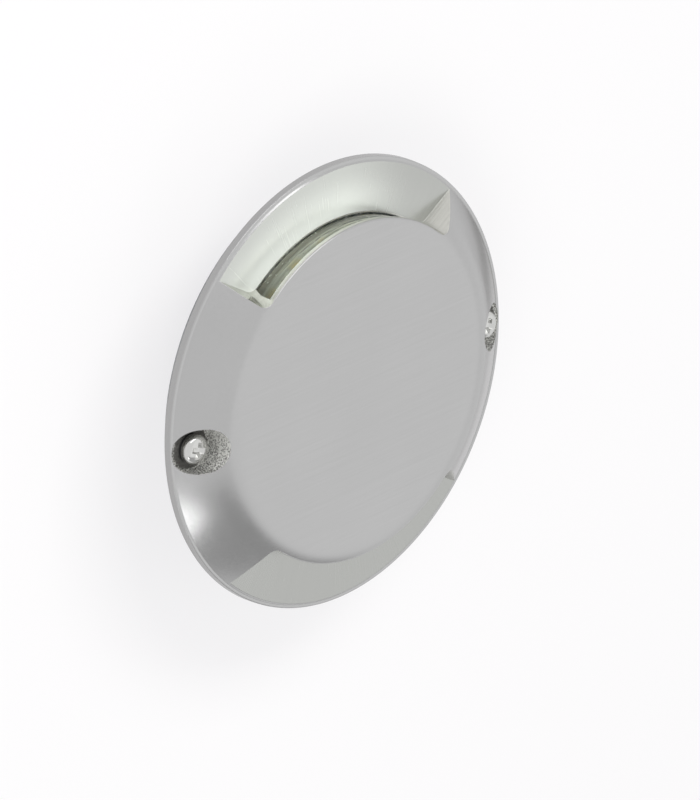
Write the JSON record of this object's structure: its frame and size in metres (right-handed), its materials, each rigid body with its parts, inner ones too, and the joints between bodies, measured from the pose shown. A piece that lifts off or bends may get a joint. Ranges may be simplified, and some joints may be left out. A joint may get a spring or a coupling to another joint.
{
  "type": "outdoor floor light",
  "caption": "Round low floor light with a domed metal cover, side light windows, pan head cover screws and a shallow sealed housing with a cable gland.",
  "frame": {"origin": "centre of the housing's flat base, on the axis of the round cover", "axes": "+Z out of the cover, square to it; +Y out of the upper light window; the cable gland points along -Y; +X towards the right-hand cover screw"},
  "size_m": [0.1102, 0.1102, 0.0305],
  "materials": {
    "satin_stainless": "fine brushed satin stainless steel",
    "polished_steel": "polished stainless steel",
    "black_rubber": "matt",
    "grey_silicone": "soft translucent grey, matt",
    "clear_lens": "clear, glossy, slightly green at its edge",
    "cast_aluminium": "bead-blasted grey die casting",
    "turned_aluminium": "fine turned",
    "white_strip": "white solder mask, satin",
    "led_resin": "yellow resin in white frames",
    "white_reflector": "matt white",
    "green_board": "green solder mask over glass fibre",
    "zinc_steel": "zinc plated",
    "dark_ferrite": "sintered, matt",
    "blue_sleeve": "shrunk sleeve, glossy",
    "black_resin": "moulded, matt",
    "green_terminal": "moulded, satin",
    "red_wire": "smooth insulation",
    "black_wire": "smooth insulation",
    "white_wire": "smooth insulation",
    "nickel_brass": "nickel plated",
    "grey_vent": "moulded, satin"
  },
  "bodies": {
    "housing": {"lens": "clear_lens", "lens_seal": "grey_silicone", "housing": "cast_aluminium", "seat_gasket": "black_rubber", "light_core": "turned_aluminium", "core_screws": "zinc_steel", "strip_upper": "white_strip", "strip_lower": "white_strip", "emitters_upper": "led_resin", "emitters_lower": "led_resin", "reflector": "white_reflector", "driver_board": "green_board", "board_screws": "zinc_steel", "inductor": "dark_ferrite", "capacitors": "blue_sleeve", "driver_chip": "black_resin", "diode": "black_resin", "terminal_body": "green_terminal", "terminal_screws": "zinc_steel", "lead_red": "red_wire", "lead_black": "black_wire", "lead_link": "white_wire", "gland_body": "nickel_brass", "gland_washer": "black_rubber", "gland_locknut": "nickel_brass", "gland_seal": "black_rubber", "vent_plug": "grey_vent", "vent_washer": "black_rubber"},
    "cover": {"cover": "satin_stainless", "screw_washers": "black_rubber", "top_gasket": "grey_silicone"},
    "screw_left": {"screw_left": "polished_steel"},
    "screw_right": {"screw_right": "polished_steel"},
    "gland_nut": {"gland_nut": "nickel_brass"}
  },
  "joints": [
    {"name": "cover_lift", "type": "slide", "parent": "housing", "child": "cover", "axis": [0, 0, 1], "range_m": [0, 0.025]},
    {"name": "screw_left_turn", "type": "hinge", "parent": "cover", "child": "screw_left", "pos_m": [-0.0486, 0, 0.0231], "axis": [0, 0, 1], "continuous": true},
    {"name": "screw_right_turn", "type": "hinge", "parent": "cover", "child": "screw_right", "pos_m": [0.0486, 0, 0.0231], "axis": [0, 0, 1], "continuous": true},
    {"name": "gland_nut_turn", "type": "hinge", "parent": "housing", "child": "gland_nut", "pos_m": [0, -0.045, 0.0082], "axis": [0, -1, 0], "continuous": true}
  ]
}
